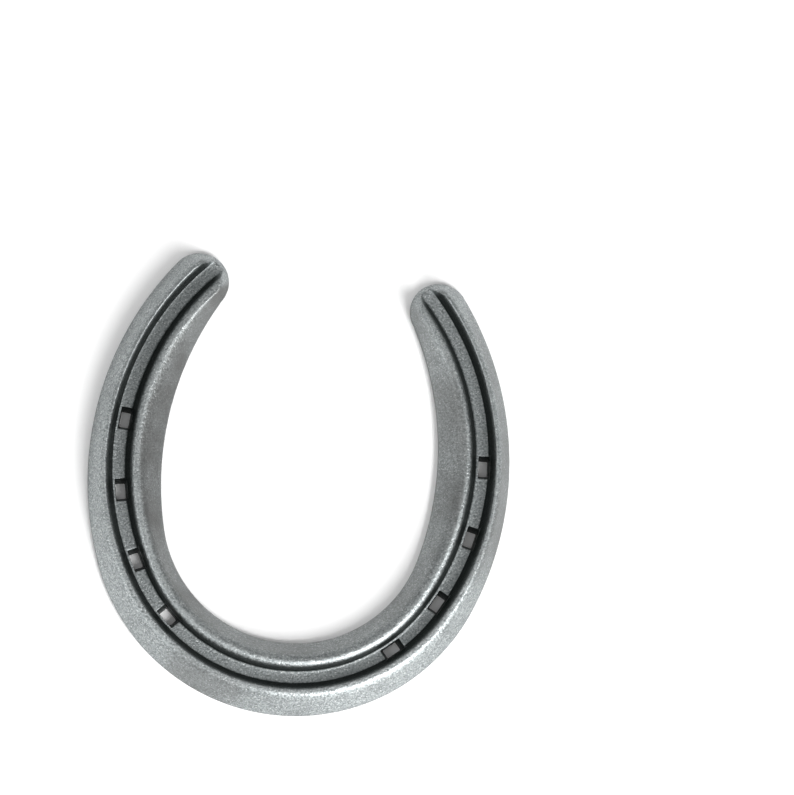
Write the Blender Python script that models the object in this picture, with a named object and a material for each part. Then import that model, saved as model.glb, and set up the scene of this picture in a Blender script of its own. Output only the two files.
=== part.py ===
"""A plain horseshoe with open heels, forged in one piece from fullered concave bar.

Metres, +Z up. The hoof face lies flat on z = 0 and the ground face looks up. The toe points
along -Y and the heels along +Y, and the origin is at the middle of the shoe's length and width.

In plan, each line of the shoe (outer edge, inner edge, nail groove) is an ArcPair: a toe arc
centred on the Y axis, then a branch arc tangent to it. The top surface is a loft: rows of
points across the web, placed from the groove's centre line, each as high as the lowest of
the slopes, the rims and the groove at that place. It is a loft between unlike sections,
because the web, the slopes and the rims all change from the toe to the heels.
"""

import math

import bmesh
import bpy
from mathutils import Matrix, Vector

MM = 0.001

# The bar.
THICKNESS = 10.0 * MM
HOOF_EDGE_RADIUS = 0.8 * MM
OUTER_SIDE_HEIGHT = 1.6 * MM
INNER_LIP_HEIGHT = 2.6 * MM
CREST_BLEND = 2.2 * MM

# The plan of the outer and the inner edge.
OUTER_TOE_RADIUS = 62.2 * MM
OUTER_TOE_SPAN = math.radians(68.1)
OUTER_BRANCH_RADIUS = 99.4 * MM
TOE_WEB = 22.2 * MM
INNER_TOE_RADIUS = 40.5 * MM
INNER_TOE_SPAN = math.radians(75.3)
INNER_BRANCH_RADIUS = 98.6 * MM

# The round end of each heel, which slopes down all round.
HEEL_RADIUS = 9.1 * MM
HEEL_SIDE_HEIGHT = 1.8 * MM
HEEL_SLOPE = math.tan(math.radians(55))

# The nail groove (fuller). Its outer wall grows steeper towards the heels and its inner wall
# less steep, each between two places along the groove.
GROOVE_FROM_TOE = 11.65 * MM
GROOVE_TOE_RADIUS = 51.6 * MM
GROOVE_TOE_SPAN = math.radians(58.8)
GROOVE_BRANCH_RADIUS = 81.3 * MM
GROOVE_DEPTH = 6.0 * MM
GROOVE_FLOOR_WIDTH = 3.8 * MM
OUTER_WALL_RUN_TOE = 2.4 * MM
OUTER_WALL_RUN_HEEL = 1.4 * MM
OUTER_WALL_CHANGE = (75.0 * MM, 130.0 * MM)
OUTER_WALL_ROUNDING = 0.7 * MM
INNER_WALL_RUN_TOE = 0.7 * MM
INNER_WALL_RUN_HEEL = 2.3 * MM
INNER_WALL_CHANGE = (20.0 * MM, 100.0 * MM)
INNER_WALL_ROUNDING = 1.8 * MM

# The rims on both sides of the groove, from its walls to where the slopes begin.
OUTER_RIM_TOE = 2.4 * MM
OUTER_RIM_HEEL = 1.1 * MM
INNER_RIM_TOE = 3.0 * MM
INNER_RIM_HEEL = 2.7 * MM
RIM_CHANGE = (45.0 * MM, 115.0 * MM)

# The nail holes, placed along the groove from the middle of the toe. Each is a tapered
# rectangle, larger at the groove's floor than at the hoof face. On the branch at the outside
# of the horse's leg the nails lie further back and further from the edge than on the inside,
# where the hoof wall is thinner.
NAIL_PLACES = (38.0 * MM, 58.1 * MM, 80.4 * MM, 102.8 * MM)
OUTSIDE_BRANCH_LAG = 0.7 * MM
OUTSIDE_BRANCH_INSET = 0.5 * MM
FLOOR_NAIL_LENGTH = 7.0 * MM
FLOOR_NAIL_WIDTH = 3.4 * MM
HOOF_NAIL_LENGTH = 4.5 * MM
HOOF_NAIL_WIDTH = 2.8 * MM
CUTTER_OVERSHOOT = 1.0 * MM

# How finely the loft is divided. Slope lines are fractions of a slope's width from the edge,
# rim lines fractions of the way from the crest to the groove's rounding, and heel rows
# fractions of the way from the heel's centre to its end.
ROW_SPACING = 5.0 * MM
HEEL_ROWS = (0.12, 0.26, 0.4, 0.54, 0.67, 0.79, 0.9, 1.0)
SLOPE_LINES = (0.0, 0.07, 0.2, 0.4, 0.65, 0.85)
RIM_LINES = (0.1, 0.45, 0.75)
WALL_ROUNDING_STEPS = 3
HOOF_EDGE_STEPS = 2
SHARP_ANGLE = math.radians(40)
WELD_DISTANCE = 0.05 * MM
LENGTH_TOLERANCE = 0.001 * MM

STEEL_COLOUR = (0.36, 0.37, 0.37, 1.0)
STEEL_ROUGHNESS = 0.45

FLOOR_HEIGHT = THICKNESS - GROOVE_DEPTH
HALF_FLOOR = GROOVE_FLOOR_WIDTH / 2
OUTSIDE, INSIDE = -1, 1


def direction(angle):
    """Unit vector at this angle from the toe's direction, turning towards the branch."""
    return Vector((math.sin(angle), -math.cos(angle)))


def angle_of(vector):
    """The angle whose direction() this vector has."""
    return math.atan2(vector.x, -vector.y)


def exit_from_circle(point, heading, centre, radius):
    """Distance from the point along the heading to where the line leaves the circle."""
    offset = point - centre
    to_middle = -offset.dot(heading)
    return to_middle + math.sqrt(to_middle**2 + radius**2 - offset.length_squared)


class ArcPair:
    """One half of a U-shaped line, on the +X side: a toe arc, then a branch arc tangent to it."""

    def __init__(self, toe_point, toe_radius, toe_span, branch_radius):
        self.toe_radius = toe_radius
        self.toe_span = toe_span
        self.toe_length = toe_radius * toe_span
        self.branch_radius = branch_radius
        self.toe_centre = Vector(toe_point) + Vector((0.0, toe_radius))
        self.branch_centre = self.toe_centre - (branch_radius - toe_radius) * direction(toe_span)

    def frame(self, length):
        """The point this far along the line from the toe, and the outward normal there."""
        if length <= self.toe_length:
            normal = direction(length / self.toe_radius)
            return self.toe_centre + self.toe_radius * normal, normal
        normal = direction(self.toe_span + (length - self.toe_length) / self.branch_radius)
        return self.branch_centre + self.branch_radius * normal, normal

    def length_at(self, point):
        """How far along the line the branch arc's normal through this point lies."""
        turn = angle_of(point - self.branch_centre) - self.toe_span
        return self.toe_length + turn * self.branch_radius

    def reach(self, point, heading):
        """Distance from the point along the heading to this line, negative behind the point."""
        reach = exit_from_circle(point, heading, self.toe_centre, self.toe_radius)
        if angle_of(point + reach * heading - self.toe_centre) <= self.toe_span:
            return reach
        return exit_from_circle(point, heading, self.branch_centre, self.branch_radius)


OUTER_EDGE = ArcPair((0.0, 0.0), OUTER_TOE_RADIUS, OUTER_TOE_SPAN, OUTER_BRANCH_RADIUS)
INNER_EDGE = ArcPair((0.0, TOE_WEB), INNER_TOE_RADIUS, INNER_TOE_SPAN, INNER_BRANCH_RADIUS)
NAIL_GROOVE = ArcPair(
    (0.0, GROOVE_FROM_TOE), GROOVE_TOE_RADIUS, GROOVE_TOE_SPAN, GROOVE_BRANCH_RADIUS
)


def find_heel_centre():
    """Centre of a heel's round end: it touches the outer edge from inside, the inner from outside."""
    from_outer = OUTER_BRANCH_RADIUS - HEEL_RADIUS
    from_inner = INNER_BRANCH_RADIUS + HEEL_RADIUS
    between = INNER_EDGE.branch_centre - OUTER_EDGE.branch_centre
    along = (from_outer**2 - from_inner**2 + between.length_squared) / (2 * between.length)
    across = math.sqrt(from_outer**2 - along**2)
    unit = between.normalized()
    return OUTER_EDGE.branch_centre + along * unit + across * Vector((unit.y, -unit.x))


HEEL_CENTRE = find_heel_centre()
SHOE_LENGTH = HEEL_CENTRE.y + HEEL_RADIUS


def outer_reach(point, normal):
    """Distance from the point out to the edge of the shoe, which ends in the heel's circle."""
    reach = OUTER_EDGE.reach(point, normal)
    place = OUTER_EDGE.length_at(point + reach * normal)
    if place <= OUTER_EDGE.length_at(HEEL_CENTRE):
        return reach
    return exit_from_circle(point, normal, HEEL_CENTRE, HEEL_RADIUS)


def inner_reach(point, normal):
    """Distance from the point in to the inner edge, as a negative number."""
    reach = INNER_EDGE.reach(point, normal)
    place = INNER_EDGE.length_at(point + reach * normal)
    if place <= INNER_EDGE.length_at(HEEL_CENTRE):
        return reach
    return -exit_from_circle(point, -normal, HEEL_CENTRE, HEEL_RADIUS)


def smooth_step(value, start, end):
    share = min(max((value - start) / (end - start), 0.0), 1.0)
    return share * share * (3 - 2 * share)


def mix(first, second, share):
    return first + (second - first) * share


def soft_min(first, second):
    """The lower of two heights, rounded where they cross."""
    closeness = max(CREST_BLEND - abs(first - second), 0.0) / CREST_BLEND
    return min(first, second) - closeness**2 * CREST_BLEND / 4


class Wall:
    """One wall of the groove: heights above the floor at distances outwards from the floor's edge."""

    def __init__(self, run, rounding):
        self.run = run
        self.rounding = rounding
        self.angle = math.atan2(GROOVE_DEPTH, run)
        self.end = run + rounding * math.tan(self.angle / 2)

    def height(self, distance):
        to_end = self.end - distance
        if to_end <= 0:
            return GROOVE_DEPTH
        if to_end < self.rounding * math.sin(self.angle):
            return GROOVE_DEPTH - self.rounding + math.sqrt(self.rounding**2 - to_end**2)
        return max(distance, 0.0) / self.run * GROOVE_DEPTH

    def lines(self):
        """Distances at which the loft's lines follow the rounded top, from its end downwards."""
        turns = [self.angle * step / WALL_ROUNDING_STEPS for step in range(WALL_ROUNDING_STEPS + 1)]
        return [self.end - self.rounding * math.sin(turn) for turn in turns]


class Section:
    """The web at one place: offsets from the groove's centre line, positive towards the outside."""

    def __init__(self, groove, length):
        self.point, self.normal = groove.frame(length)
        outer_change = smooth_step(length, *OUTER_WALL_CHANGE)
        inner_change = smooth_step(length, *INNER_WALL_CHANGE)
        rim_change = smooth_step(length, *RIM_CHANGE)
        outer_run = mix(OUTER_WALL_RUN_TOE, OUTER_WALL_RUN_HEEL, outer_change)
        inner_run = mix(INNER_WALL_RUN_TOE, INNER_WALL_RUN_HEEL, inner_change)
        self.outer_wall = Wall(outer_run, OUTER_WALL_ROUNDING)
        self.inner_wall = Wall(inner_run, INNER_WALL_ROUNDING)
        self.outer = outer_reach(self.point, self.normal)
        self.inner = inner_reach(self.point, self.normal)
        self.outer_crest = HALF_FLOOR + outer_run + mix(OUTER_RIM_TOE, OUTER_RIM_HEEL, rim_change)
        self.inner_crest = -HALF_FLOOR - inner_run - mix(INNER_RIM_TOE, INNER_RIM_HEEL, rim_change)
        self.outer_slope = (THICKNESS - OUTER_SIDE_HEIGHT) / (self.outer - self.outer_crest)
        self.inner_slope = (THICKNESS - INNER_LIP_HEIGHT) / (self.inner_crest - self.inner)

    def half_lines(self, edge, crest, wall):
        """Where the loft's lines cross one half of this section, from its edge to the groove's floor."""
        way = math.copysign(1.0, edge)
        rim_end = way * (HALF_FLOOR + wall.end)
        lines = [mix(edge, crest, share) for share in SLOPE_LINES]
        lines += [mix(crest, rim_end, share) for share in RIM_LINES]
        lines += [way * (HALF_FLOOR + distance) for distance in wall.lines()]
        return lines + [way * HALF_FLOOR]

    def line_offsets(self):
        """Where the loft's lines cross this section, from the outer edge to the inner one."""
        outer_lines = self.half_lines(self.outer, self.outer_crest, self.outer_wall)
        inner_lines = self.half_lines(self.inner, self.inner_crest, self.inner_wall)
        return outer_lines + inner_lines[::-1]

    def top_height(self, side, offset):
        """The lowest of a side's slope, the rims' flat tops and the groove."""
        wall = self.outer_wall if offset > 0 else self.inner_wall
        groove = FLOOR_HEIGHT + wall.height(abs(offset) - HALF_FLOOR)
        return min(soft_min(side, THICKNESS), groove)

    def height(self, offset):
        outer_side = OUTER_SIDE_HEIGHT + (self.outer - offset) * self.outer_slope
        inner_side = INNER_LIP_HEIGHT + (offset - self.inner) * self.inner_slope
        return self.top_height(min(outer_side, inner_side), offset)


class Branch:
    """One side of the shoe, worked out as if on the +X side and then put on its own side."""

    def __init__(self, side):
        self.side = side
        self.heel_start = NAIL_GROOVE.length_at(HEEL_CENTRE)
        self.heel_section = Section(NAIL_GROOVE, self.heel_start)

    def place(self, point, height):
        return Vector((self.side * point.x, point.y - SHOE_LENGTH / 2, height))

    def row(self, length):
        """Points across the web, between the toe and the start of the heel."""
        section = Section(NAIL_GROOVE, length)
        return [
            self.place(section.point + offset * section.normal, section.height(offset))
            for offset in section.line_offsets()
        ]

    def at_offset(self, length, offset):
        point, normal = NAIL_GROOVE.frame(length)
        return point + offset * normal

    def line_end(self, offset):
        """Length at which a line parallel to the groove runs into the heel's circle."""
        low = self.heel_start
        high = self.heel_start + 2 * HEEL_RADIUS
        while high - low > LENGTH_TOLERANCE:
            middle = (low + high) / 2
            if (self.at_offset(middle, offset) - HEEL_CENTRE).length < HEEL_RADIUS:
                low = middle
            else:
                high = middle
        return low

    def heel_height(self, point, offset):
        """Height on the heel's end. The side slopes turn into the heel's own slope at its tip."""
        section = self.heel_section
        from_centre = point - HEEL_CENTRE
        across = from_centre.dot(section.normal)
        outer_half = across > 0
        side_height = OUTER_SIDE_HEIGHT if outer_half else INNER_LIP_HEIGHT
        side_slope = section.outer_slope if outer_half else section.inner_slope
        frontness = 1 - (across / from_centre.length) ** 2
        edge = mix(side_height, HEEL_SIDE_HEIGHT, frontness)
        slope = mix(side_slope, HEEL_SLOPE, frontness)
        from_edge = max(HEEL_RADIUS - from_centre.length, 0.0)
        return section.top_height(edge + from_edge * slope, offset)

    def heel_row(self, share):
        """Points this share of the way along each line from the heel's start to its end."""
        points = []
        for offset in self.heel_section.line_offsets():
            length = mix(self.heel_start, self.line_end(offset), share)
            point = self.at_offset(length, offset)
            points.append(self.place(point, self.heel_height(point, offset)))
        return points

    def rows(self):
        """All rows from the toe to the heel's end. The first lies on the toe's centre line."""
        count = math.ceil(self.heel_start / ROW_SPACING)
        web_rows = [self.row(self.heel_start * index / count) for index in range(count + 1)]
        return web_rows + [self.heel_row(share) for share in HEEL_ROWS]


def add_surface(mesh, rows):
    """Quads between neighbouring rows. Where lines end at one point, the quads close up."""
    grid = [[mesh.verts.new(point) for point in row] for row in rows]
    for near, far in zip(grid, grid[1:]):
        for line in range(len(near) - 1):
            mesh.faces.new((near[line], near[line + 1], far[line + 1], far[line]))
    bmesh.ops.remove_doubles(mesh, verts=mesh.verts, dist=WELD_DISTANCE)


def close_downwards(mesh):
    """Walls from the surface's border down to the hoof face's rounded edge, and the hoof face."""
    border = [edge for edge in mesh.edges if edge.is_boundary]
    walls = bmesh.ops.extrude_edge_only(mesh, edges=border)["geom"]
    for vertex in walls:
        if isinstance(vertex, bmesh.types.BMVert):
            vertex.co.z = HOOF_EDGE_RADIUS
    foot = [edge for edge in mesh.edges if edge.is_boundary]
    hoof_face = bmesh.ops.contextual_create(mesh, geom=foot)["faces"][0]
    bmesh.ops.recalc_face_normals(mesh, faces=mesh.faces)
    round_off(mesh, hoof_face)


def round_off(mesh, hoof_face):
    """Insets that follow a quarter circle from the walls to the flat hoof face at z = 0."""
    turn = math.pi / 2 / HOOF_EDGE_STEPS
    for step in range(HOOF_EDGE_STEPS):
        start = step * turn
        end = start + turn
        inwards = HOOF_EDGE_RADIUS * (math.cos(start) - math.cos(end))
        downwards = HOOF_EDGE_RADIUS * (math.sin(end) - math.sin(start))
        bmesh.ops.inset_region(mesh, faces=[hoof_face], thickness=inwards, depth=downwards)


def make_steel():
    steel = bpy.data.materials.new("forged_steel")
    steel.use_nodes = True
    shader = steel.node_tree.nodes["Principled BSDF"]
    shader.inputs["Base Color"].default_value = STEEL_COLOUR
    shader.inputs["Roughness"].default_value = STEEL_ROUGHNESS
    shader.inputs["Metallic"].default_value = 1.0
    return steel


def make_body(collection, branches):
    mesh = bmesh.new()
    outside_rows, inside_rows = (branch.rows() for branch in branches)
    add_surface(mesh, outside_rows[:0:-1] + inside_rows)
    close_downwards(mesh)
    data = bpy.data.meshes.new("shoe_body")
    mesh.to_mesh(data)
    mesh.free()
    data.shade_smooth()
    data.set_sharp_from_angle(angle=SHARP_ANGLE)
    data.materials.append(make_steel())
    body = bpy.data.objects.new("shoe_body", data)
    collection.objects.link(body)
    return body


def make_nail_cutter(collection, branch, number):
    """A tapered block through the groove's floor, centred on its own opening in the floor."""
    place = NAIL_PLACES[number] - branch.side * OUTSIDE_BRANCH_LAG
    point = branch.at_offset(place, branch.side * OUTSIDE_BRANCH_INSET)
    normal = NAIL_GROOVE.frame(place)[1]
    mesh = bmesh.new()
    bmesh.ops.create_cube(mesh, size=2.0)
    for corner in mesh.verts:
        height = FLOOR_HEIGHT + CUTTER_OVERSHOOT if corner.co.z > 0 else -CUTTER_OVERSHOOT
        depth = 1 - height / FLOOR_HEIGHT
        half_width = mix(FLOOR_NAIL_WIDTH, HOOF_NAIL_WIDTH, depth) / 2
        half_length = mix(FLOOR_NAIL_LENGTH, HOOF_NAIL_LENGTH, depth) / 2
        corner.co = (corner.co.x * half_width, corner.co.y * half_length, height)
    data = bpy.data.meshes.new("nail_cutter")
    mesh.to_mesh(data)
    mesh.free()
    side_name = "outside" if branch.side == OUTSIDE else "inside"
    cutter = bpy.data.objects.new(f"nail_cutter_{side_name}_{number + 1}", data)
    outwards = Vector((branch.side * normal.x, normal.y, 0.0))
    upwards = Vector((0.0, 0.0, 1.0))
    turn = Matrix((outwards, upwards.cross(outwards), upwards)).transposed()
    cutter.matrix_world = Matrix.Translation(branch.place(point, 0.0)) @ turn.to_4x4()
    cutter.hide_render = True
    cutter.display_type = "WIRE"
    collection.objects.link(cutter)


def cut_nail_holes(body, branches, cutters):
    for branch in branches:
        for number in range(len(NAIL_PLACES)):
            make_nail_cutter(cutters, branch, number)
    holes = body.modifiers.new("nail_holes", "BOOLEAN")
    holes.operand_type = "COLLECTION"
    holes.collection = cutters


def new_collection(name):
    collection = bpy.data.collections.new(name)
    bpy.context.scene.collection.children.link(collection)
    return collection


def main():
    for thing in list(bpy.data.objects):
        bpy.data.objects.remove(thing, do_unlink=True)
    branches = (Branch(OUTSIDE), Branch(INSIDE))
    body = make_body(new_collection("horseshoe"), branches)
    cut_nail_holes(body, branches, new_collection("cutters"))


main()
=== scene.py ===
"""The looks of the horseshoe: one finely lofted forging of shot-blasted steel, ground face up.

Metres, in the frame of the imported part: hoof face on z = 0, toe along -Y, heels along +Y.
The loft repeats the part's own plan and section, with far more rows and lines, and adds a rounded
foot in the groove, softened edges and a slightly widened mouth at both ends of each nail hole.
"""

import math

import bmesh
import bpy
from mathutils import Matrix, Vector


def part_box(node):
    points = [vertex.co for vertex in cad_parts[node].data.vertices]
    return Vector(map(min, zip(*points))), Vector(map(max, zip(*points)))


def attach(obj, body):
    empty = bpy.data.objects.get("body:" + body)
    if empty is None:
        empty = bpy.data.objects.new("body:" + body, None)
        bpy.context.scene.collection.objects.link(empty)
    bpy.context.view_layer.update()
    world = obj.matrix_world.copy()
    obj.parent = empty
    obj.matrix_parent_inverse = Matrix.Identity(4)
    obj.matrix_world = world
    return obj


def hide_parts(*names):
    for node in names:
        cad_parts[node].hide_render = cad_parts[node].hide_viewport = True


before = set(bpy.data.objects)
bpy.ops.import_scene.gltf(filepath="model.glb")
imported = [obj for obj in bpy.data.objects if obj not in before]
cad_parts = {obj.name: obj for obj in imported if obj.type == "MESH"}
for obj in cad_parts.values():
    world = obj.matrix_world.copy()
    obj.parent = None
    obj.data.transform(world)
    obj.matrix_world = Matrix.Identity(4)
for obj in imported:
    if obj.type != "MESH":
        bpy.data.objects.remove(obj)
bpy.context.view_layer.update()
LOW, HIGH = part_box("shoe_body")

MM = 0.001

# The bar.
THICKNESS = HIGH.z - LOW.z
HOOF_EDGE_RADIUS = 0.8 * MM
OUTER_SIDE_HEIGHT = 1.6 * MM
INNER_LIP_HEIGHT = 2.6 * MM
CREST_BLEND = 2.2 * MM
GROOVE_EDGE_BLEND = 0.3 * MM
EDGE_ROUNDING = 0.4 * MM
EDGE_ROUNDING_WIDTH = 0.1 * MM

# The plan of the outer and the inner edge.
OUTER_TOE_RADIUS = 62.2 * MM
OUTER_TOE_SPAN = math.radians(68.1)
OUTER_BRANCH_RADIUS = 99.4 * MM
TOE_WEB = 22.2 * MM
INNER_TOE_RADIUS = 40.5 * MM
INNER_TOE_SPAN = math.radians(75.3)
INNER_BRANCH_RADIUS = 98.6 * MM

# The round end of each heel, which slopes down all round.
HEEL_RADIUS = 9.1 * MM
HEEL_SIDE_HEIGHT = 1.8 * MM
HEEL_SLOPE = math.tan(math.radians(55))

# The nail groove. Each wall has a rounded top and a rounded foot.
GROOVE_FROM_TOE = 11.65 * MM
GROOVE_TOE_RADIUS = 51.6 * MM
GROOVE_TOE_SPAN = math.radians(58.8)
GROOVE_BRANCH_RADIUS = 81.3 * MM
GROOVE_DEPTH = 6.0 * MM
GROOVE_FLOOR_WIDTH = 3.8 * MM
OUTER_WALL_RUN_TOE = 2.4 * MM
OUTER_WALL_RUN_HEEL = 1.4 * MM
OUTER_WALL_CHANGE = (75.0 * MM, 130.0 * MM)
OUTER_WALL_ROUNDING = 0.7 * MM
OUTER_FOOT_ROUNDING = 0.5 * MM
INNER_WALL_RUN_TOE = 0.7 * MM
INNER_WALL_RUN_HEEL = 2.3 * MM
INNER_WALL_CHANGE = (20.0 * MM, 100.0 * MM)
INNER_WALL_ROUNDING = 1.8 * MM
INNER_FOOT_ROUNDING = 1.0 * MM

# The rims on both sides of the groove.
OUTER_RIM_TOE = 2.4 * MM
OUTER_RIM_HEEL = 1.1 * MM
INNER_RIM_TOE = 3.0 * MM
INNER_RIM_HEEL = 2.7 * MM
RIM_CHANGE = (45.0 * MM, 115.0 * MM)

# The nail holes, placed along the groove from the middle of the toe. On the outside branch they lie
# this much further from the toe and from the shoe's edge, and on the inside branch as much nearer.
NAIL_PLACES = (38.0 * MM, 58.1 * MM, 80.4 * MM, 102.8 * MM)
OUTSIDE_BRANCH_LAG = 0.7 * MM
OUTSIDE_BRANCH_INSET = 0.5 * MM
FLOOR_NAIL_LENGTH = 7.0 * MM
FLOOR_NAIL_WIDTH = 3.4 * MM
HOOF_NAIL_LENGTH = 4.5 * MM
HOOF_NAIL_WIDTH = 2.8 * MM

# How finely the loft is divided. Edge lines are distances from an edge of the web, and a crest's
# lines start this share of the way from the crest out to the edge.
ROW_SPACING = 0.85 * MM
HOLE_ROW_SPACING = 0.4 * MM
HOLE_ROWS_REACH = 4.6 * MM
HEEL_ROW_COUNT = 34
EDGE_LINES = (0.0, 0.03 * MM, 0.08 * MM, 0.16 * MM, 0.3 * MM)
SLOPE_LINE_COUNT = 5
CREST_START = 0.35
CREST_LINE_COUNT = 11
WALL_TOP_STEPS = 6
WALL_LINE_COUNT = 3
WALL_FOOT_STEPS = 5
FLOOR_LINE_COUNT = 3
HOOF_EDGE_STEPS = 5
HOOF_EDGE_MARGIN = 1.5 * HOOF_EDGE_RADIUS
HOOF_FACE_LINES = 6
SHARP_ANGLE = math.radians(38)
WELD_DISTANCE = 0.01 * MM
LENGTH_TOLERANCE = 0.002 * MM

FLOOR_HEIGHT = THICKNESS - GROOVE_DEPTH
HALF_FLOOR = GROOVE_FLOOR_WIDTH / 2

# The sign of x on the outside and on the inside branch.
OUTSIDE, INSIDE = -1, 1

# Where the dark forging scale and painted shade lie: within this distance of the groove's centre line,
# fading in between two depths below the rims and between two tilts, as the upward part of the normal, so
# that the deep, steep walls of the groove and the holes are painted as shaded. The groove's floor has a
# trace of it, as painted shade, and the shoe's side walls have some, as a painted shadow line.
SCALE_AND_SHADE_REACH = 4.6 * MM
SCALE_AND_SHADE_DEPTH = (0.5 * MM, 2.2 * MM)
SCALE_AND_SHADE_TILT = (0.45, 0.85)
FLOOR_SCALE_AND_SHADE = 0.13
SIDE_SCALE_AND_SHADE = 0.6
SIDE_TILT = (0.1, 0.4)

# The scale and painted shade end just past the start of a heel, between these distances from the heel's
# centre.
HEEL_SCALE_AND_SHADE_FADE = 1.0 * MM
HEEL_TIP = (4.0 * MM, 7.5 * MM)

# Where the inner slope is stained and darkened with painted shade, as a dimmer reflection than the outer
# slope's:
# the darkening fades in between these distances inside the groove's centre line, and is strongest on the
# -X branch, where the painted shade is deepest.
STAIN_AND_SHADE_START = (5.2 * MM, 7.0 * MM)
STAIN_AND_SHADE_SIDE = (-20.0 * MM, 30.0 * MM)
LEAST_STAIN_AND_SHADE = 0.5

# Darker places on the slopes, as the middle's x and y, the radius and the amount of darkening, which
# fades out from half the radius on. A slope starts between these distances from the centre line.
DARKER_PATCHES = (
    (-22.0 * MM, -62.0 * MM, 16.0 * MM, 0.7),
    (64.0 * MM, 20.0 * MM, 48.0 * MM, 0.8),
)
SLOPE_START = (4.5 * MM, 6.0 * MM)

# Where the rims are worn bright by the ground, with a painted highlight on their tops: within this depth
# below their tops.
WEAR_AND_SHEEN_DEPTH = 0.35 * MM

# The hoof face is clean: scale, stain and their painted shade fade out between these upward parts of the
# normal.
CLEAN_TILT = (-0.6, -0.1)


def direction(angle):
    """Unit vector at this angle from the toe's direction, turning towards the branch."""
    return Vector((math.sin(angle), -math.cos(angle)))


def angle_of(vector):
    """The angle whose direction() this vector has."""
    return math.atan2(vector.x, -vector.y)


def exit_from_circle(point, heading, centre, radius):
    """Distance from the point along the heading to where the line leaves the circle."""
    offset = point - centre
    to_middle = -offset.dot(heading)
    return to_middle + math.sqrt(max(to_middle**2 + radius**2 - offset.length_squared, 0.0))


class ArcPair:
    """One half of a U-shaped line, on the +X side: a toe arc, then a branch arc tangent to it."""

    def __init__(self, toe_point, toe_radius, toe_span, branch_radius):
        self.toe_radius = toe_radius
        self.toe_span = toe_span
        self.toe_length = toe_radius * toe_span
        self.branch_radius = branch_radius
        self.toe_centre = Vector(toe_point) + Vector((0.0, toe_radius))
        self.branch_centre = self.toe_centre - (branch_radius - toe_radius) * direction(toe_span)

    def frame(self, length):
        """The point this far along the line from the toe, and the outward normal there."""
        if length <= self.toe_length:
            normal = direction(length / self.toe_radius)
            return self.toe_centre + self.toe_radius * normal, normal
        normal = direction(self.toe_span + (length - self.toe_length) / self.branch_radius)
        return self.branch_centre + self.branch_radius * normal, normal

    def length_at(self, point):
        """How far along the line the branch arc's normal through this point lies."""
        turn = angle_of(point - self.branch_centre) - self.toe_span
        return self.toe_length + turn * self.branch_radius

    def reach(self, point, heading):
        """Distance from the point along the heading to this line, negative behind the point."""
        reach = exit_from_circle(point, heading, self.toe_centre, self.toe_radius)
        if angle_of(point + reach * heading - self.toe_centre) <= self.toe_span:
            return reach
        return exit_from_circle(point, heading, self.branch_centre, self.branch_radius)


OUTER_EDGE = ArcPair((0.0, 0.0), OUTER_TOE_RADIUS, OUTER_TOE_SPAN, OUTER_BRANCH_RADIUS)
INNER_EDGE = ArcPair((0.0, TOE_WEB), INNER_TOE_RADIUS, INNER_TOE_SPAN, INNER_BRANCH_RADIUS)
NAIL_GROOVE = ArcPair(
    (0.0, GROOVE_FROM_TOE), GROOVE_TOE_RADIUS, GROOVE_TOE_SPAN, GROOVE_BRANCH_RADIUS
)


def find_heel_centre():
    """Centre of a heel's round end: it touches the outer edge from inside, the inner from outside."""
    from_outer = OUTER_BRANCH_RADIUS - HEEL_RADIUS
    from_inner = INNER_BRANCH_RADIUS + HEEL_RADIUS
    apart = INNER_EDGE.branch_centre - OUTER_EDGE.branch_centre
    along = (from_outer**2 - from_inner**2 + apart.length_squared) / (2 * apart.length)
    across = math.sqrt(from_outer**2 - along**2)
    unit = apart.normalized()
    return OUTER_EDGE.branch_centre + along * unit + across * Vector((unit.y, -unit.x))


HEEL_CENTRE = find_heel_centre()


def outer_reach(point, normal):
    """Distance from the point out to the edge of the shoe, which ends in the heel's circle."""
    reach = OUTER_EDGE.reach(point, normal)
    place = OUTER_EDGE.length_at(point + reach * normal)
    if place <= OUTER_EDGE.length_at(HEEL_CENTRE):
        return reach
    return exit_from_circle(point, normal, HEEL_CENTRE, HEEL_RADIUS)


def inner_reach(point, normal):
    """Distance from the point in to the inner edge, as a negative number."""
    reach = INNER_EDGE.reach(point, normal)
    place = INNER_EDGE.length_at(point + reach * normal)
    if place <= INNER_EDGE.length_at(HEEL_CENTRE):
        return reach
    return -exit_from_circle(point, -normal, HEEL_CENTRE, HEEL_RADIUS)


def smooth_step(value, start, end):
    share = min(max((value - start) / (end - start), 0.0), 1.0)
    return share * share * (3 - 2 * share)


def mix(first, second, share):
    return first + (second - first) * share


def soft_min(first, second, blend):
    """The lower of two heights, rounded where they cross."""
    closeness = max(blend - abs(first - second), 0.0) / blend
    return min(first, second) - closeness**2 * blend / 4


def between(start, end, count):
    """This many evenly spaced values after start and before end."""
    return [mix(start, end, (index + 1) / (count + 1)) for index in range(count)]


def edge_drop(distance):
    """How far the rounding of a sharp edge lowers the surface at this distance from it."""
    return -EDGE_ROUNDING * math.exp(-max(distance, 0.0) / EDGE_ROUNDING_WIDTH)


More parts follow.
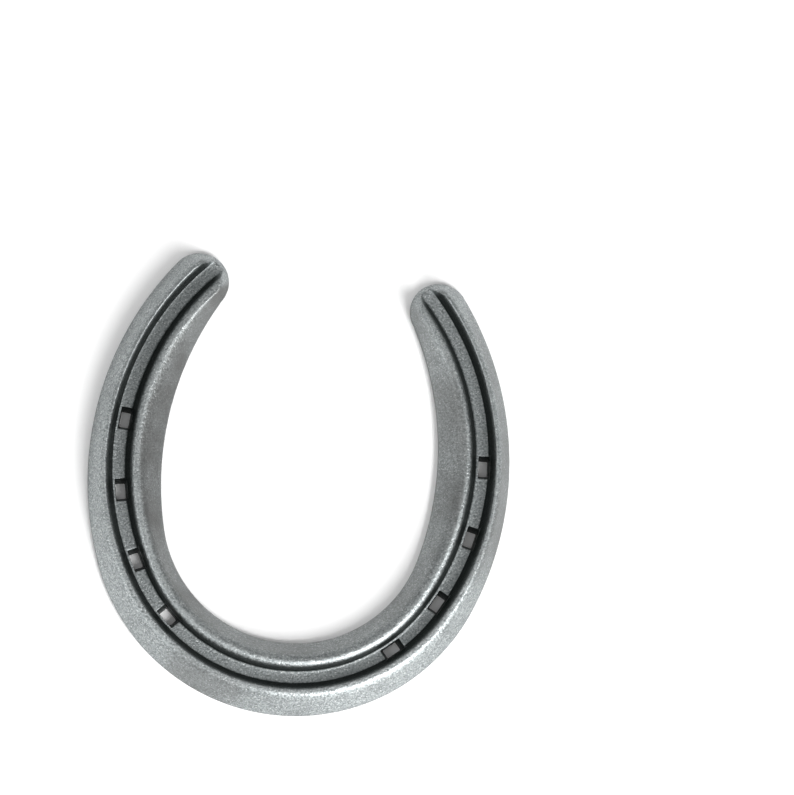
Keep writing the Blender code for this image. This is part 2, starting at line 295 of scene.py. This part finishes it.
class Wall:
    """One wall of the groove: heights above the floor at distances outwards from the floor's edge."""

    def __init__(self, run, top_rounding, foot_rounding):
        self.run = run
        self.top_rounding = top_rounding
        self.foot_rounding = foot_rounding
        self.angle = math.atan2(GROOVE_DEPTH, run)
        self.end = run + top_rounding * math.tan(self.angle / 2)
        self.start = -foot_rounding * math.tan(self.angle / 2)

    def height(self, distance):
        to_end = self.end - distance
        from_start = distance - self.start
        if to_end <= 0:
            return GROOVE_DEPTH
        if from_start <= 0:
            return 0.0
        if to_end < self.top_rounding * math.sin(self.angle):
            drop = self.top_rounding - math.sqrt(self.top_rounding**2 - to_end**2)
            return GROOVE_DEPTH - drop
        if from_start < self.foot_rounding * math.sin(self.angle):
            return self.foot_rounding - math.sqrt(self.foot_rounding**2 - from_start**2)
        return distance / self.run * GROOVE_DEPTH

    def lines(self):
        """Distances of the loft's lines from the end of the rounded top to the start of the foot."""
        top = [self.end - self.top_rounding * math.sin(turn) for turn in self.turns(WALL_TOP_STEPS)]
        foot = [self.start + self.foot_rounding * math.sin(turn) for turn in self.turns(WALL_FOOT_STEPS)]
        return top + between(top[-1], foot[-1], WALL_LINE_COUNT) + foot[::-1]

    def turns(self, steps):
        return [self.angle * step / steps for step in range(steps + 1)]


class Section:
    """The web at one place: offsets from the groove's centre line, positive towards the outside."""

    def __init__(self, groove, length):
        self.point, self.normal = groove.frame(length)
        outer_change = smooth_step(length, *OUTER_WALL_CHANGE)
        inner_change = smooth_step(length, *INNER_WALL_CHANGE)
        rim_change = smooth_step(length, *RIM_CHANGE)
        outer_run = mix(OUTER_WALL_RUN_TOE, OUTER_WALL_RUN_HEEL, outer_change)
        inner_run = mix(INNER_WALL_RUN_TOE, INNER_WALL_RUN_HEEL, inner_change)
        self.outer_wall = Wall(outer_run, OUTER_WALL_ROUNDING, OUTER_FOOT_ROUNDING)
        self.inner_wall = Wall(inner_run, INNER_WALL_ROUNDING, INNER_FOOT_ROUNDING)
        self.outer = outer_reach(self.point, self.normal)
        self.inner = inner_reach(self.point, self.normal)
        self.outer_crest = HALF_FLOOR + outer_run + mix(OUTER_RIM_TOE, OUTER_RIM_HEEL, rim_change)
        self.inner_crest = -HALF_FLOOR - inner_run - mix(INNER_RIM_TOE, INNER_RIM_HEEL, rim_change)
        self.outer_slope = (THICKNESS - OUTER_SIDE_HEIGHT) / (self.outer - self.outer_crest)
        self.inner_slope = (THICKNESS - INNER_LIP_HEIGHT) / (self.inner_crest - self.inner)

    def half_lines(self, edge, crest, wall):
        """Where the loft's lines cross one half of this section, from its edge to the groove's floor."""
        way = math.copysign(1.0, edge)
        slope_start = edge - way * EDGE_LINES[-1]
        slope_end = mix(crest, edge, CREST_START)
        rim_end = way * (HALF_FLOOR + wall.end)
        lines = [edge - way * distance for distance in EDGE_LINES]
        lines += between(slope_start, slope_end, SLOPE_LINE_COUNT)
        lines += between(slope_end, rim_end, CREST_LINE_COUNT)
        return lines + [way * (HALF_FLOOR + distance) for distance in wall.lines()]

    def line_offsets(self):
        """Where the loft's lines cross this section, from the outer edge to the inner one."""
        outer_half = self.half_lines(self.outer, self.outer_crest, self.outer_wall)
        inner_half = self.half_lines(self.inner, self.inner_crest, self.inner_wall)
        floor = between(outer_half[-1], inner_half[-1], FLOOR_LINE_COUNT)
        return outer_half + floor + inner_half[::-1]

    def top_height(self, side, offset):
        """The lowest of a side's slope, the rims' flat tops and the groove, rounded where they meet."""
        wall = self.outer_wall if offset > 0 else self.inner_wall
        groove = FLOOR_HEIGHT + wall.height(abs(offset) - HALF_FLOOR)
        rims = soft_min(side, THICKNESS, CREST_BLEND)
        if groove >= THICKNESS:
            return rims
        return soft_min(rims, groove, min(GROOVE_EDGE_BLEND, THICKNESS - groove))

    def height(self, offset):
        outer_side = OUTER_SIDE_HEIGHT + edge_drop(self.outer - offset)
        outer_side += (self.outer - offset) * self.outer_slope
        inner_side = INNER_LIP_HEIGHT + edge_drop(offset - self.inner)
        inner_side += (offset - self.inner) * self.inner_slope
        return self.top_height(min(outer_side, inner_side), offset)


def nail_place(branch, number):
    """How far along the groove this hole of the branch lies."""
    return NAIL_PLACES[number] - branch.side * OUTSIDE_BRANCH_LAG


class Branch:
    """One side of the shoe, worked out as if on the +X side and then put on its own side."""

    def __init__(self, side):
        self.side = side
        self.heel_start = NAIL_GROOVE.length_at(HEEL_CENTRE)
        self.heel_section = Section(NAIL_GROOVE, self.heel_start)

    def place(self, point, height):
        return Vector((self.side * point.x, point.y + LOW.y, height + LOW.z))

    def row(self, length):
        """Points across the web, between the toe and the start of the heel."""
        section = Section(NAIL_GROOVE, length)
        return [
            self.place(section.point + offset * section.normal, section.height(offset))
            for offset in section.line_offsets()
        ]

    def at_offset(self, length, offset):
        point, normal = NAIL_GROOVE.frame(length)
        return point + offset * normal

    def line_end(self, offset):
        """Length at which a line parallel to the groove runs into the heel's circle."""
        low = self.heel_start
        high = self.heel_start + 2 * HEEL_RADIUS
        while high - low > LENGTH_TOLERANCE:
            middle = (low + high) / 2
            if (self.at_offset(middle, offset) - HEEL_CENTRE).length < HEEL_RADIUS:
                low = middle
            else:
                high = middle
        return low

    def heel_height(self, point, offset):
        """Height on the heel's end.

        The side slopes turn into the heel's own slope at its tip, and the distances to the web's
        edges, which miss the heel's circle by a hair, turn into the circle's radius.
        """
        section = self.heel_section
        from_centre = point - HEEL_CENTRE
        across = from_centre.dot(section.normal)
        outer_half = across > 0
        side_height = OUTER_SIDE_HEIGHT if outer_half else INNER_LIP_HEIGHT
        side_slope = section.outer_slope if outer_half else section.inner_slope
        frontness = 1 - (across / max(from_centre.length, LENGTH_TOLERANCE)) ** 2
        edge = mix(side_height, HEEL_SIDE_HEIGHT, frontness)
        slope = mix(side_slope, HEEL_SLOPE, frontness)
        centre_offset = (HEEL_CENTRE - section.point).dot(section.normal)
        side_reach = abs((section.outer if outer_half else section.inner) - centre_offset)
        reach = mix(side_reach, HEEL_RADIUS, frontness)
        from_edge = max(reach - from_centre.length, 0.0)
        side = edge + edge_drop(from_edge) + from_edge * slope
        return section.top_height(side, offset)

    def heel_rows(self):
        """Rows from the heel's start to its end, closer together towards the end."""
        offsets = self.heel_section.line_offsets()
        ends = [self.line_end(offset) for offset in offsets]
        rows = []
        for index in range(1, HEEL_ROW_COUNT + 1):
            share = math.sin(math.pi / 2 * index / HEEL_ROW_COUNT)
            row = []
            for offset, end in zip(offsets, ends):
                point = self.at_offset(mix(self.heel_start, end, share), offset)
                row.append(self.place(point, self.heel_height(point, offset)))
            rows.append(row)
        return rows

    def lengths(self):
        """Where the rows lie along the groove: evenly, and closer together at the nail holes."""
        marks = [0.0]
        for number in range(len(NAIL_PLACES)):
            middle = nail_place(self, number)
            marks += [middle - HOLE_ROWS_REACH, middle + HOLE_ROWS_REACH]
        marks.append(self.heel_start)
        lengths = [0.0]
        for index, (start, end) in enumerate(zip(marks, marks[1:])):
            spacing = HOLE_ROW_SPACING if index % 2 else ROW_SPACING
            count = math.ceil((end - start) / spacing)
            lengths += between(start, end, count - 1) + [end]
        return lengths

    def border(self, web_rows, heel_end):
        """The top surface's border from the toe round the heel and back, with its inward directions."""
        normals = [NAIL_GROOVE.frame(length)[1] for length in self.lengths()]
        normals = [Vector((self.side * normal.x, normal.y, 0.0)) for normal in normals]
        outer = [(row[0], -normal) for row, normal in zip(web_rows, normals)]
        inner = [(row[-1], normal) for row, normal in zip(web_rows, normals)]
        centre = self.place(HEEL_CENTRE, 0.0)
        heel = []
        for point in heel_end[1:-1]:
            inward = centre - point
            inward.z = 0.0
            heel.append((point, inward.normalized()))
        return outer + heel + inner[::-1]

    def add_to(self, mesh):
        """This branch's top, its sides with their rounded lower edge, and its hoof face."""
        web_rows = [self.row(length) for length in self.lengths()]
        heel_rows = self.heel_rows()
        add_surface(mesh, web_rows + heel_rows)
        border = self.border(web_rows, heel_rows[-1])
        rings = [[point for point, inward in border]]
        for height, distance in FOOT_RINGS:
            rings.append([at_height(point + distance * inward, height) for point, inward in border])
        add_surface(mesh, rings)
        add_hoof_face(mesh, rings[-1], len(web_rows))


def foot_rings():
    """Height above the hoof face and distance inwards of each ring below the top surface."""
    rings = []
    for step in range(HOOF_EDGE_STEPS + 1):
        turn = math.pi / 2 * step / HOOF_EDGE_STEPS
        rings.append((HOOF_EDGE_RADIUS * (1 - math.sin(turn)), HOOF_EDGE_RADIUS * (1 - math.cos(turn))))
    return rings + [(0.0, HOOF_EDGE_MARGIN)]


FOOT_RINGS = foot_rings()


def at_height(point, height):
    return Vector((point.x, point.y, LOW.z + height))


def add_surface(mesh, rows):
    """Quads between neighbouring rows."""
    grid = [[mesh.verts.new(point) for point in row] for row in rows]
    for near, far in zip(grid, grid[1:]):
        for line in range(len(near) - 1):
            mesh.faces.new((near[line], near[line + 1], far[line + 1], far[line]))


def add_hoof_face(mesh, foot, count):
    """The face inside the lowest ring, of which this many points at each end border the web."""
    outer = foot[:count]
    inner = foot[::-1][:count]
    add_surface(mesh, [
        [start.lerp(end, step / HOOF_FACE_LINES) for step in range(HOOF_FACE_LINES + 1)]
        for start, end in zip(outer, inner)
    ])
    chord = between(inner[-1], outer[-1], HOOF_FACE_LINES - 1)
    heel_face = foot[count - 1:len(foot) - count + 1] + chord
    mesh.faces.new([mesh.verts.new(point) for point in heel_face])


def make_object(name, mesh):
    data = bpy.data.meshes.new(name)
    mesh.to_mesh(data)
    mesh.free()
    thing = bpy.data.objects.new(name, data)
    bpy.context.scene.collection.objects.link(thing)
    return thing


# Rings of a nail hole from above the groove's floor to below the hoof face: the height, and how
# far each side is moved out there from the straight taper.
HOLE_RINGS = (
    (FLOOR_HEIGHT + 1.2 * MM, 0.08 * MM),
    (FLOOR_HEIGHT + 0.03 * MM, 0.08 * MM),
    (FLOOR_HEIGHT - 0.02 * MM, 0.03 * MM),
    (FLOOR_HEIGHT - 0.08 * MM, 0.0),
    (0.3 * MM, 0.0),
    (0.1 * MM, 0.08 * MM),
    (0.0, 0.22 * MM),
    (-0.1 * MM, 0.4 * MM),
    (-1.0 * MM, 0.4 * MM),
)
HOLE_CORNER_STEPS = 4
HOLE_CORNER = 0.3 * MM


def rounded_rectangle(half_width, half_length, corner):
    """Corners in turn, each a quarter circle of this radius."""
    points = []
    for quarter in range(4):
        across = 1 if quarter in (0, 3) else -1
        along = 1 if quarter in (0, 1) else -1
        for step in range(HOLE_CORNER_STEPS + 1):
            turn = math.pi / 2 * (quarter + step / HOLE_CORNER_STEPS)
            x = across * (half_width - corner) + corner * math.cos(turn)
            y = along * (half_length - corner) + corner * math.sin(turn)
            points.append((x, y))
    return points


def add_nail_cutter(mesh, branch, number):
    """A closed, tapering plug of the shape of one nail hole."""
    length = nail_place(branch, number)
    point = branch.at_offset(length, branch.side * OUTSIDE_BRANCH_INSET)
    normal = NAIL_GROOVE.frame(length)[1]
    outwards = Vector((branch.side * normal.x, normal.y, 0.0))
    upwards = Vector((0.0, 0.0, 1.0))
    sideways = upwards.cross(outwards)
    middle = branch.place(point, 0.0)
    rings = []
    for height, extra in HOLE_RINGS:
        depth = 1 - height / FLOOR_HEIGHT
        half_width = mix(FLOOR_NAIL_WIDTH, HOOF_NAIL_WIDTH, depth) / 2 + extra
        half_length = mix(FLOOR_NAIL_LENGTH, HOOF_NAIL_LENGTH, depth) / 2 + extra
        ring = []
        for x, y in rounded_rectangle(half_width, half_length, HOLE_CORNER + extra):
            place = middle + x * outwards + y * sideways + height * upwards
            ring.append(mesh.verts.new(place))
        rings.append(ring)
    for upper, lower in zip(rings, rings[1:]):
        for index in range(len(upper)):
            after = (index + 1) % len(upper)
            mesh.faces.new((upper[index], lower[index], lower[after], upper[after]))
    mesh.faces.new(rings[0])
    mesh.faces.new(rings[-1][::-1])


def close_slivers(data):
    """Fills the hair-thin gaps that the Boolean can leave at the edge of a hole."""
    mesh = bmesh.new()
    mesh.from_mesh(data)
    gaps = [edge for edge in mesh.edges if edge.is_boundary]
    bmesh.ops.holes_fill(mesh, edges=gaps, sides=4)
    mesh.to_mesh(data)
    mesh.free()


def make_forging(branches):
    """The shoe without its nail holes."""
    mesh = bmesh.new()
    for branch in branches:
        branch.add_to(mesh)
    bmesh.ops.remove_doubles(mesh, verts=mesh.verts, dist=WELD_DISTANCE)
    bmesh.ops.dissolve_degenerate(mesh, edges=mesh.edges, dist=WELD_DISTANCE)
    bmesh.ops.recalc_face_normals(mesh, faces=mesh.faces)
    return make_object("horseshoe_forging", mesh)


def make_nail_cutters(branches):
    mesh = bmesh.new()
    for branch in branches:
        for number in range(len(NAIL_PLACES)):
            add_nail_cutter(mesh, branch, number)
    bmesh.ops.recalc_face_normals(mesh, faces=mesh.faces)
    return make_object("nail_cutters", mesh)


def cut_away(thing, cutter):
    """Cuts the cutter out of the thing, and removes the cutter."""
    cut = thing.modifiers.new("cut", "BOOLEAN")
    cut.object = cutter
    cut.operation = "DIFFERENCE"
    graph = bpy.context.evaluated_depsgraph_get()
    data = bpy.data.meshes.new_from_object(thing.evaluated_get(graph), depsgraph=graph)
    thing.modifiers.clear()
    thing.data = data
    bpy.data.objects.remove(cutter)
    close_slivers(data)


def make_shoe():
    branches = (Branch(OUTSIDE), Branch(INSIDE))
    shoe = make_forging(branches)
    cut_away(shoe, make_nail_cutters(branches))
    shoe.data.shade_smooth()
    shoe.data.set_sharp_from_angle(angle=SHARP_ANGLE)
    mark_finish_and_painted_light(shoe.data)
    return shoe


def offset_from(line, point):
    """How far outside this line the point lies."""
    from_toe = point - line.toe_centre
    if angle_of(from_toe) <= line.toe_span:
        return from_toe.length - line.toe_radius
    return (point - line.branch_centre).length - line.branch_radius


def heel_share(place):
    """How near this place is to a heel's tip, where the groove runs out: 0 before it, 1 there."""
    from_centre = Vector((abs(place.x), place.y - LOW.y)) - HEEL_CENTRE
    normal = NAIL_GROOVE.frame(NAIL_GROOVE.length_at(HEEL_CENTRE))[1]
    ahead = from_centre.dot(Vector((-normal.y, normal.x)))
    return smooth_step(ahead, 0.0, HEEL_SCALE_AND_SHADE_FADE) * smooth_step(from_centre.length, *HEEL_TIP)


def patch_darkening(place):
    """How much the darker patches darken this place."""
    shares = []
    for x, y, radius, amount in DARKER_PATCHES:
        apart = math.hypot(place.x - x, place.y - y)
        shares.append(amount * (1 - smooth_step(apart, radius / 2, radius)))
    return max(shares)


def scale_and_shade_share(place, tilt, offset):
    """How much forging scale and painted shade lie in the groove, in the holes and on the side walls."""
    # The side walls get scale and a painted shadow line, and the groove and holes get scale and painted
    # shade.
    if abs(offset) >= SCALE_AND_SHADE_REACH:
        return SIDE_SCALE_AND_SHADE * (1 - smooth_step(abs(tilt), *SIDE_TILT))
    # Painted shade: darker further below the rims and on steeper faces, as in a shaded recess.
    deep = smooth_step(HIGH.z - place.z, *SCALE_AND_SHADE_DEPTH)
    steep = 1 - smooth_step(abs(tilt), *SCALE_AND_SHADE_TILT)
    return deep * mix(FLOOR_SCALE_AND_SHADE, 1.0, steep) * (1 - heel_share(place))


def stain_and_shade_share(place, offset):
    """How darkened the slopes are: the inner one all along, with stain and painted shade, and both in
    the darker patches.
    """
    inner_stain_and_shade = mix(LEAST_STAIN_AND_SHADE, 1.0, smooth_step(-place.x, *STAIN_AND_SHADE_SIDE))
    inner_stain_and_shade *= smooth_step(-offset, *STAIN_AND_SHADE_START)
    patch = patch_darkening(place) * smooth_step(abs(offset), *SLOPE_START)
    return max(inner_stain_and_shade, patch)


def mark_finish_and_painted_light(data):
    """Marks every point's scale, stain and wear for the steel's material, with the painted shade and
    painted highlight that they carry.
    """
    # The scale attribute carries forging scale and painted shade.
    scale = data.attributes.new("scale", "FLOAT", "POINT")
    # The stain attribute carries stain and painted shade.
    stain_and_shade = data.attributes.new("stain_and_shade", "FLOAT", "POINT")
    wear_and_sheen = data.attributes.new("wear_and_sheen", "FLOAT", "POINT")
    for vertex in data.vertices:
        place = vertex.co
        tilt = vertex.normal.z
        offset = offset_from(NAIL_GROOVE, Vector((abs(place.x), place.y - LOW.y)))
        marked = smooth_step(tilt, *CLEAN_TILT)
        scale.data[vertex.index].value = marked * scale_and_shade_share(place, tilt, offset)
        stain_and_shade.data[vertex.index].value = marked * stain_and_shade_share(place, offset)
        # Wear and a painted highlight: brighter within a little depth of the tops.
        wear_and_sheen.data[vertex.index].value = smooth_step(place.z, HIGH.z - WEAR_AND_SHEEN_DEPTH, HIGH.z)


# ---------------------------------------------------------------- steel

def node(tree, kind, **inputs):
    """A new node with these values on its inputs. A _ stands for a space in an input's name."""
    made = tree.nodes.new(kind)
    for name, value in inputs.items():
        made.inputs[name.replace("_", " ")].default_value = value
    return made


# Two tones of the blasted skin, the stain with its painted shade, the dark forging scale with its
# painted shade, a bright speck and the metal of the worn rims with its painted highlight.
SKIN_DARK = (0.18, 0.195, 0.197, 1.0)
SKIN_LIGHT = (0.43, 0.46, 0.463, 1.0)
# The stain colour, which also serves as painted shade on the inner slope.
STAIN_AND_SHADE = (0.132, 0.133, 0.130, 1.0)
# The scale colour, which also serves as painted shade in the groove, the holes and on the side walls.
SCALE_AND_SHADE = (0.041, 0.050, 0.048, 1.0)
SPECK = (0.75, 0.77, 0.77, 1.0)
# The worn metal colour, which also serves as a painted highlight on the rim tops.
WORN_AND_SHEEN = (0.52, 0.54, 0.54, 1.0)

# Each pattern's features per metre, its detail, and the noise values between which it fades in.
GRAIN = (1500.0, 2.0)
GRAIN_RANGE = (0.32, 0.68)
SPECKS = (2300.0, 0.0)
SPECK_RANGE = (0.66, 0.78)
PATCHES = (110.0, 5.0)
PATCH_RANGE = (0.5, 0.75)
STAIN_AND_SHADE_NOISE = (45.0, 4.0)
STAIN_AND_SHADE_RANGE = (0.15, 0.7)
RUBS = (400.0, 3.0)
RUB_RANGE = (0.42, 0.68)
NOISE_ROUGHNESS = 0.6

# How strongly the patches, specks and worn places with their painted highlight show.
PATCH_AMOUNT = 0.55
SPECK_AMOUNT = 0.7
WORN_AND_SHEEN_AMOUNT = 0.35
WORN_ROUGHNESS_CHANGE = -0.05
PIT_DEPTH = 0.18 * MM

# The roughness, and the noise values of the grain between which it goes from least to most.
LEAST_ROUGHNESS = 0.40
MOST_ROUGHNESS = 0.56
ROUGHNESS_GRAIN = (0.3, 0.7)


def ramp_between(tree, source, low, high):
    """This output stretched so that low becomes 0 and high becomes 1."""
    stretch = node(tree, "ShaderNodeMapRange", From_Min=low, From_Max=high)
    tree.links.new(source, stretch.inputs["Value"])
    return stretch.outputs["Result"]


def noise_texture(tree, place, scale, detail):
    texture = node(tree, "ShaderNodeTexNoise", Scale=scale, Detail=detail, Roughness=NOISE_ROUGHNESS)
    tree.links.new(place, texture.inputs["Vector"])
    return texture.outputs["Fac"]


def mixed(tree, amount, first, second):
    """One colour over another. The first is an output or a colour, the second a colour."""
    blend = tree.nodes.new("ShaderNodeMix")
    blend.data_type = "RGBA"
    tree.links.new(amount, blend.inputs["Factor"])
    if isinstance(first, tuple):
        blend.inputs["A"].default_value = first
    else:
        tree.links.new(first, blend.inputs["A"])
    blend.inputs["B"].default_value = second
    return blend.outputs["Result"]


def product(tree, first, second):
    times = tree.nodes.new("ShaderNodeMath")
    times.operation = "MULTIPLY"
    tree.links.new(first, times.inputs[0])
    if isinstance(second, float):
        times.inputs[1].default_value = second
    else:
        tree.links.new(second, times.inputs[1])
    return times.outputs["Value"]


def attribute(tree, name):
    reader = tree.nodes.new("ShaderNodeAttribute")
    reader.attribute_name = name
    return reader.outputs["Fac"]


def steel_colour(tree, place, grain, worn_and_sheen):
    """Grains, then patches, specks, stain and painted shade, scale and painted shade, and wear with a
    painted highlight, each over the one before.
    """
    specks = noise_texture(tree, place, *SPECKS)
    patches = noise_texture(tree, place, *PATCHES)
    stain_and_shade_noise = noise_texture(tree, place, *STAIN_AND_SHADE_NOISE)
    patchy = product(tree, ramp_between(tree, patches, *PATCH_RANGE), PATCH_AMOUNT)
    speckled = product(tree, ramp_between(tree, specks, *SPECK_RANGE), SPECK_AMOUNT)
    stained_and_shaded = product(tree, attribute(tree, "stain_and_shade"), ramp_between(tree, stain_and_shade_noise, *STAIN_AND_SHADE_RANGE))
    colour = mixed(tree, ramp_between(tree, grain, *GRAIN_RANGE), SKIN_DARK, SKIN_LIGHT)
    colour = mixed(tree, patchy, colour, SKIN_DARK)
    colour = mixed(tree, speckled, colour, SPECK)
    # Stain and painted shade on the inner slope, and the darker patches.
    colour = mixed(tree, stained_and_shaded, colour, STAIN_AND_SHADE)
    # Forging scale and painted shade over the groove, the holes and the side walls.
    colour = mixed(tree, attribute(tree, "scale"), colour, SCALE_AND_SHADE)
    # Wear and a painted highlight on the rim tops.
    return mixed(tree, product(tree, worn_and_sheen, WORN_AND_SHEEN_AMOUNT), colour, WORN_AND_SHEEN)


def steel_roughness(tree, grain, worn_and_sheen):
    """Rougher in the lighter grains, and smoother where the rims are worn."""
    rough = node(
        tree,
        "ShaderNodeMapRange",
        From_Min=ROUGHNESS_GRAIN[0],
        From_Max=ROUGHNESS_GRAIN[1],
        To_Min=LEAST_ROUGHNESS,
        To_Max=MOST_ROUGHNESS,
    )
    tree.links.new(grain, rough.inputs["Value"])
    smoother = node(tree, "ShaderNodeMath")
    smoother.operation = "MULTIPLY_ADD"
    tree.links.new(worn_and_sheen, smoother.inputs[0])
    smoother.inputs[1].default_value = WORN_ROUGHNESS_CHANGE
    tree.links.new(rough.outputs["Result"], smoother.inputs[2])
    return smoother.outputs["Value"]


def make_steel():
    """Shot-blasted steel: fine pits, lighter and darker grains, patches, scale and worn rims, with
    painted shade in the groove and on the inner slope and a painted highlight on the rim tops.
    """
    steel = bpy.data.materials.new("shot_blasted_steel")
    steel.use_nodes = True
    tree = steel.node_tree
    shader = tree.nodes["Principled BSDF"]
    shader.inputs["Metallic"].default_value = 1.0
    place = tree.nodes.new("ShaderNodeTexCoord").outputs["Object"]

    grain = noise_texture(tree, place, *GRAIN)
    rubs = noise_texture(tree, place, *RUBS)
    worn_and_sheen = product(tree, attribute(tree, "wear_and_sheen"), ramp_between(tree, rubs, *RUB_RANGE))
    tree.links.new(steel_colour(tree, place, grain, worn_and_sheen), shader.inputs["Base Color"])
    tree.links.new(steel_roughness(tree, grain, worn_and_sheen), shader.inputs["Roughness"])

    bump = node(tree, "ShaderNodeBump", Strength=1.0, Distance=PIT_DEPTH)
    tree.links.new(grain, bump.inputs["Height"])
    tree.links.new(bump.outputs["Normal"], shader.inputs["Normal"])
    return steel


# ---------------------------------------------------------------- studio

# The camera looks at a point on the hoof face's plane. Its azimuth turns from +X towards +Y, and
# the picture's upright is turned from +Y towards -X. The lens and the sensor are in millimetres.
CAMERA_AIM = (27.5 * MM, 32.8 * MM)
CAMERA_DISTANCE = 1.505
CAMERA_AZIMUTH = math.radians(-113.63)
CAMERA_ELEVATION = math.radians(78.84)
UPRIGHT_TURN = math.radians(6.356)
CAMERA_LENS = 220.24
SENSOR_WIDTH = 36.0


def towards(azimuth, elevation):
    """Unit vector that points this way."""
    flat = math.cos(elevation)
    return Vector((flat * math.cos(azimuth), flat * math.sin(azimuth), math.sin(elevation)))


def make_camera():
    data = bpy.data.cameras.new("camera")
    data.sensor_width = SENSOR_WIDTH
    data.lens = CAMERA_LENS
    backwards = towards(CAMERA_AZIMUTH, CAMERA_ELEVATION)
    upright = towards(math.pi / 2 + UPRIGHT_TURN, 0.0)
    rightwards = upright.cross(backwards).normalized()
    turn = Matrix((rightwards, backwards.cross(rightwards), backwards)).transposed()
    aim = Vector((*CAMERA_AIM, LOW.z))
    camera = bpy.data.objects.new("camera", data)
    camera.matrix_world = Matrix.Translation(aim + CAMERA_DISTANCE * backwards) @ turn.to_4x4()
    bpy.context.scene.collection.objects.link(camera)
    bpy.context.scene.camera = camera


# The floor is a disc that the lights cover evenly, just below the hoof face.
FLOOR_RADIUS = 0.7
FLOOR_GAP = 0.02 * MM
FLOOR_SIDES = 128
PAPER = (0.9, 0.9, 0.9, 1.0)
PAPER_ROUGHNESS = 0.9
PAPER_SPECULAR = 0.1


def make_paper():
    """Matt white paper."""
    paper = bpy.data.materials.new("white_floor")
    paper.use_nodes = True
    shader = paper.node_tree.nodes["Principled BSDF"]
    shader.inputs["Base Color"].default_value = PAPER
    shader.inputs["Roughness"].default_value = PAPER_ROUGHNESS
    shader.inputs["Specular IOR Level"].default_value = PAPER_SPECULAR
    return paper


def make_floor():
    mesh = bmesh.new()
    bmesh.ops.create_circle(mesh, cap_ends=True, radius=FLOOR_RADIUS, segments=FLOOR_SIDES)
    floor = make_object("floor", mesh)
    floor.location.z = LOW.z - FLOOR_GAP
    floor.data.materials.append(make_paper())


# The lights: name, azimuth and elevation in degrees, diameter in metres and power in watts. The
# key lights stand to the photo's lower right, and the fill to its lower left.
LIGHTS = (
    ("key", -43.6, 44.0, 0.6, 15.0),
    ("low_key", -52.0, 20.0, 0.8, 8.0),
    ("fill", -150.0, 32.0, 1.0, 5.0),
)
LIGHT_DISTANCE = 1.2


def make_area_light(name, azimuth, elevation, size, power):
    """An area light that points at the shoe. Azimuth turns from +X towards +Y."""
    data = bpy.data.lights.new(name, "AREA")
    data.shape = "DISK"
    data.size = size
    data.energy = power
    light = bpy.data.objects.new(name, data)
    light.location = LIGHT_DISTANCE * towards(math.radians(azimuth), math.radians(elevation))
    light.rotation_euler = (-light.location).to_track_quat("-Z", "Y").to_euler()
    bpy.context.scene.collection.objects.link(light)


# The studio's walls and ceiling, as the sine of the elevation and the brightness, and the white
# backdrop that only the camera sees.
STUDIO_TONES = ((0.0, 0.45), (0.3, 0.45), (0.65, 0.53), (1.0, 0.58))
BACKDROP_TONE = 1.0


def studio_tones(tree):
    """The room's brightness in each direction."""
    heading = tree.nodes.new("ShaderNodeTexCoord").outputs["Generated"]
    parts = tree.nodes.new("ShaderNodeSeparateXYZ")
    tree.links.new(heading, parts.inputs["Vector"])
    tones = tree.nodes.new("ShaderNodeValToRGB")
    ramp = tones.color_ramp
    while len(ramp.elements) < len(STUDIO_TONES):
        ramp.elements.new(0.5)
    for element, (position, tone) in zip(ramp.elements, STUDIO_TONES):
        element.position = position
        element.color = (tone, tone, tone, 1.0)
    tree.links.new(parts.outputs["Z"], tones.inputs["Fac"])
    return tones.outputs["Color"]


def make_world():
    """A room that is brighter overhead than at the sides, with a white backdrop."""
    world = bpy.data.worlds.new("studio")
    bpy.context.scene.world = world
    world.use_nodes = True
    tree = world.node_tree
    seen = tree.nodes.new("ShaderNodeLightPath").outputs["Is Camera Ray"]
    backdrop = (BACKDROP_TONE, BACKDROP_TONE, BACKDROP_TONE, 1.0)
    colour = mixed(tree, seen, studio_tones(tree), backdrop)
    tree.links.new(colour, tree.nodes["Background"].inputs["Color"])


shoe = make_shoe()
shoe.data.materials.clear()
shoe.data.materials.append(make_steel())
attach(shoe, "root")
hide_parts("shoe_body")

make_camera()
make_floor()
make_world()
for light in LIGHTS:
    make_area_light(*light)
bpy.context.scene.view_settings.view_transform = "Standard"
